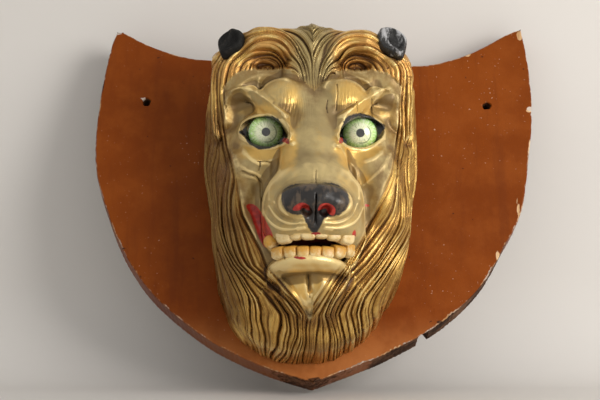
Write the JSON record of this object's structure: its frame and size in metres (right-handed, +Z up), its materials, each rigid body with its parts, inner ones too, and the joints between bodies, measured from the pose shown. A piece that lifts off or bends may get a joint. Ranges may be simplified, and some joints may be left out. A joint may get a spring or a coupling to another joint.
{
  "type": "wall plaque",
  "caption": "Carved and gilded lion head with green glass eyes and a toothed open mouth, on a rust-brown shield-shaped backboard screwed flat to a wall.",
  "frame": {"origin": "on the flat back of the board, midway between the screw holes", "axes": "+Y out of the back of the board into the wall, +X to the right as the plaque is looked at, +Z up; the lion looks along -Y"},
  "size_m": [0.4465, 0.224, 0.385],
  "materials": {
    "board_paint": "worn rust-brown paint over a solid plank",
    "gilded_carving": "bronze and gold paint over carved wood, black nose and ears, red mouth, cream teeth",
    "eye_glass": "polished glass with a painted green iris and dark pupil"
  },
  "bodies": {
    "root": {"backboard": "board_paint", "lion_head": "gilded_carving", "glass_eye_left": "eye_glass", "glass_eye_right": "eye_glass"}
  },
  "joints": []
}
